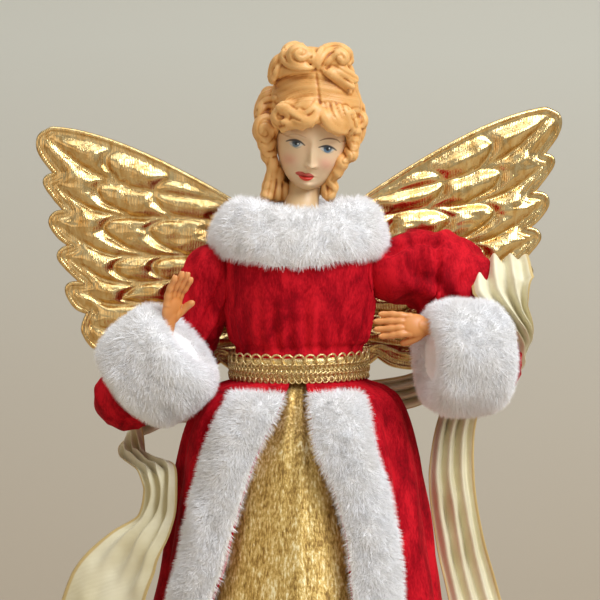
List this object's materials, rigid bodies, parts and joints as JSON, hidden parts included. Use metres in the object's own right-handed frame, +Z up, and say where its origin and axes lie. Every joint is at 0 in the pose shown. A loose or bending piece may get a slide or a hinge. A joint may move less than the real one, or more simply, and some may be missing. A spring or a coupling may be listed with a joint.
{
  "type": "tree topper doll",
  "caption": "Dressed angel doll with quilted wings on a hollow cone that stands or drops over a tree's tip; head turns, arms bend, wings fold.",
  "frame": {"origin": "centre of the cone's foot, in the plane that it stands on", "axes": "+Z up along the cone's axis, -Y the way the doll faces, +X to the viewer's right"},
  "size_m": [0.2052, 0.1372, 0.3011],
  "materials": {
    "cone_card": "matte",
    "torso_plastic": "matte",
    "steel_wire": "satin",
    "face_vinyl": "satin",
    "hair_vinyl": "satin",
    "hand_vinyl": "satin",
    "gold_braid": "metallic yarn",
    "red_velvet": "velvet",
    "white_plush": "plush",
    "gold_brocade": "metallic brocade",
    "gold_foil_cloth": "metallic foil",
    "sheer_ribbon": "sheer",
    "wadding": "matte",
    "felt": "matte"
  },
  "bodies": {
    "figure": {"base_cone": "cone_card", "torso_form": "torso_plastic", "shoulder_wire": "steel_wire", "belt_braid": "gold_braid", "bodice": "red_velvet", "fur_collar": "white_plush", "underskirt": "gold_brocade", "coat_skirt": "red_velvet", "left_fur_trim": "white_plush", "right_fur_trim": "white_plush", "wing_patch": "felt", "ribbon_back": "sheer_ribbon", "ribbon_left_end": "sheer_ribbon", "ribbon_right_end": "sheer_ribbon"},
    "head": {"head": "face_vinyl", "hair": "hair_vinyl"},
    "left_upper_arm": {"left_upper_arm_core": "wadding", "left_upper_sleeve": "red_velvet"},
    "left_forearm": {"left_forearm_core": "wadding", "left_elbow_sleeve": "red_velvet", "left_fur_cuff": "white_plush", "left_hand": "hand_vinyl"},
    "right_upper_arm": {"right_upper_arm_core": "wadding", "right_upper_sleeve": "red_velvet"},
    "right_forearm": {"right_forearm_core": "wadding", "right_elbow_sleeve": "red_velvet", "right_fur_cuff": "white_plush", "right_hand": "hand_vinyl"},
    "left_wing": {"left_wing_panel": "gold_foil_cloth", "left_wing_piping": "gold_foil_cloth"},
    "right_wing": {"right_wing_panel": "gold_foil_cloth", "right_wing_piping": "gold_foil_cloth"}
  },
  "joints": [
    {"name": "neck_turn", "type": "hinge", "parent": "figure", "child": "head", "pos_m": [0, 0, 0.23435], "axis": [0, 0, 1], "range_deg": [-35, 35]},
    {"name": "left_shoulder", "type": "hinge", "parent": "figure", "child": "left_upper_arm", "pos_m": [-0.033, 0, 0.213], "axis": [0, 1, 0], "range_deg": [0, 25], "deforming": ["ribbon_left_end"]},
    {"name": "left_elbow", "type": "hinge", "parent": "left_upper_arm", "child": "left_forearm", "pos_m": [-0.065, 0.008, 0.165], "axis": [0.6785, -0.2818, -0.6785], "range_deg": [0, 35]},
    {"name": "right_shoulder", "type": "hinge", "parent": "figure", "child": "right_upper_arm", "pos_m": [0.033, 0, 0.213], "axis": [0, -1, 0], "range_deg": [-6, 12], "deforming": ["ribbon_right_end"]},
    {"name": "right_elbow", "type": "hinge", "parent": "right_upper_arm", "child": "right_forearm", "pos_m": [0.077, 0.008, 0.178], "axis": [0.7605, -0.5496, 0.3458], "range_deg": [0, 35]},
    {"name": "left_wing_fold", "type": "hinge", "parent": "figure", "child": "left_wing", "pos_m": [-0.01, 0.027, 0.205], "axis": [0, 0, -1], "range_deg": [0, 40]},
    {"name": "right_wing_fold", "type": "hinge", "parent": "figure", "child": "right_wing", "pos_m": [0.01, 0.027, 0.205], "axis": [0, 0, 1], "range_deg": [0, 40]}
  ]
}
